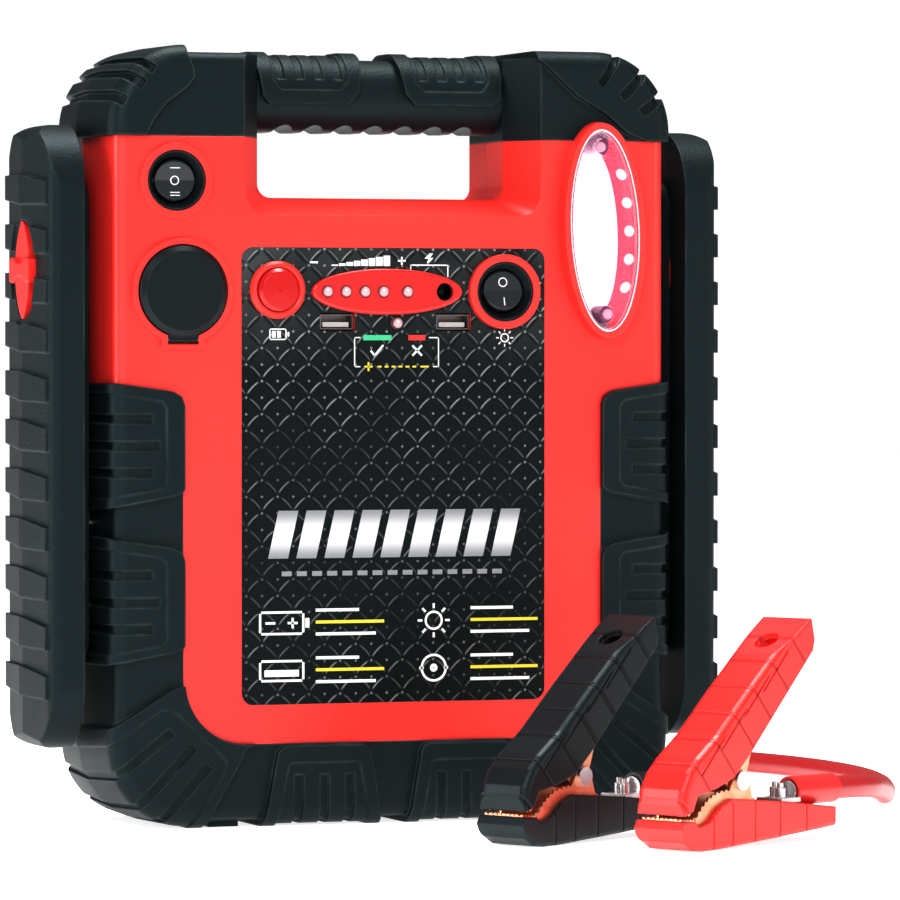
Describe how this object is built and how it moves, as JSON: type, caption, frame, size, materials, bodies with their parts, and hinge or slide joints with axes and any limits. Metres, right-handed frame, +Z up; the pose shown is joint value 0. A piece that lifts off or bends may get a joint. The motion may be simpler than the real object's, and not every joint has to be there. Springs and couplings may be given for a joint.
{
  "type": "jump starter pack",
  "caption": "Portable jump starter pack with a carry handle, cable wings, LED lamp, switches, 12 V and USB sockets, and two clamp leads.",
  "frame": {"origin": "middle of the footprint on the floor, under the pack without its leads", "axes": "+Z up, front with the controls faces -Y, +X to the right seen from the front"},
  "size_m": [0.4273, 0.4861, 0.326],
  "materials": {
    "battery_case": "matt black moulded case",
    "black_plastic": "fine textured black plastic",
    "black_rubber": "pebbled black rubber",
    "black_sheath": "black cable sheath",
    "board": "circuit board with solder mask",
    "brass": "plain brass",
    "clear_led": "clear epoxy",
    "clear_lens": "clear moulded lens",
    "copper": "copper plated sheet steel",
    "emitters": "lit emitters",
    "label": "printed polyester label",
    "red_boot": "red shrink sleeve",
    "red_button": "glossy deep red plastic",
    "red_grip": "moulded red plastic",
    "red_sheath": "dark red cable sheath",
    "red_shell": "satin moulded red plastic",
    "reflector": "metallised plastic",
    "steel": "zinc plated steel",
    "white_tongue": "white plastic"
  },
  "bodies": {
    "pack": {"battery": "battery_case", "battery_strap": "black_plastic", "battery_terminals": "brass", "black_cable": "black_sheath", "black_cable_boot": "black_sheath", "black_clamp_lower_grip": "black_plastic", "black_clamp_lower_jaw": "copper", "button_bezel": "red_shell", "button_spring": "steel", "cable_glands": "black_plastic", "cable_lugs": "steel", "charge_jack": "black_plastic", "clamp_docks": "red_grip", "clamp_rivets": "steel", "clamp_springs": "steel", "control_board": "board", "front_housing": "red_shell", "grip_pads": "black_rubber", "handle_core": "steel", "handle_grip": "black_rubber", "housing_screws": "steel", "indicator_leds": "clear_led", "indicator_pod": "red_shell", "label_plate": "label", "lamp_bezel": "red_shell", "lamp_board": "board", "lamp_chips": "emitters", "lamp_lens": "clear_lens", "lamp_reflector": "reflector", "lamp_screws": "steel", "light_switch_body": "black_plastic", "lower_bumper_front": "black_rubber", "lower_bumper_rear": "black_rubber", "output_switch_body": "black_plastic", "polarity_led": "clear_led", "rear_housing": "red_shell", "red_cable": "red_sheath", "red_cable_boot": "red_boot", "red_clamp_lower_grip": "red_grip", "red_clamp_lower_jaw": "copper", "socket_contact": "brass", "socket_hinge_pin": "steel", "socket_holder": "steel", "socket_liner": "black_plastic", "top_cap_left": "black_rubber", "top_cap_right": "black_rubber", "usb_shells": "steel", "usb_tongues": "white_tongue", "wing_hubs": "black_rubber", "wing_left": "black_rubber", "wing_right": "black_rubber", "wing_screws": "steel"},
    "output_rocker_body": {"output_rocker": "black_plastic"},
    "light_rocker_body": {"light_rocker": "black_plastic"},
    "check_button_body": {"battery_check_button": "red_button"},
    "socket_cap_body": {"socket_cap": "black_plastic"},
    "red_clamp_upper": {"red_clamp_upper_grip": "red_grip", "red_clamp_upper_jaw": "copper"},
    "black_clamp_upper": {"black_clamp_upper_grip": "black_plastic", "black_clamp_upper_jaw": "copper"}
  },
  "joints": [
    {"name": "output_switch", "type": "hinge", "parent": "pack", "child": "output_rocker_body", "pos_m": [-0.0961, -0.0299, 0.2695], "axis": [1, 0, 0], "range_deg": [-9, 9]},
    {"name": "light_switch", "type": "hinge", "parent": "pack", "child": "light_rocker_body", "pos_m": [0.0488, -0.0314, 0.2238], "axis": [1, 0, 0], "range_deg": [0, 18]},
    {"name": "battery_check_press", "type": "slide", "parent": "pack", "child": "check_button_body", "axis": [0, 1, 0], "range_m": [0, 0.0025], "stiffness_N_per_m": 400, "springref_m": -0.001, "deforming": ["button_spring"]},
    {"name": "socket_cap_hinge", "type": "hinge", "parent": "pack", "child": "socket_cap_body", "pos_m": [-0.0935, -0.0357, 0.2034], "axis": [1, 0, 0], "range_deg": [0, 90]},
    {"name": "red_clamp_pivot", "type": "hinge", "parent": "pack", "child": "red_clamp_upper", "pos_m": [0.08419, -0.1901, 0.0269], "axis": [-0.4695, 0.8829, 0], "range_deg": [0, 30], "stiffness_Nm_per_rad": 1.5, "springref_deg": -20.05},
    {"name": "black_clamp_pivot", "type": "hinge", "parent": "pack", "child": "black_clamp_upper", "pos_m": [0.03349, -0.1466, 0.0269], "axis": [-0.4695, 0.8829, 0], "range_deg": [0, 30], "stiffness_Nm_per_rad": 1.5, "springref_deg": -20.05}
  ]
}
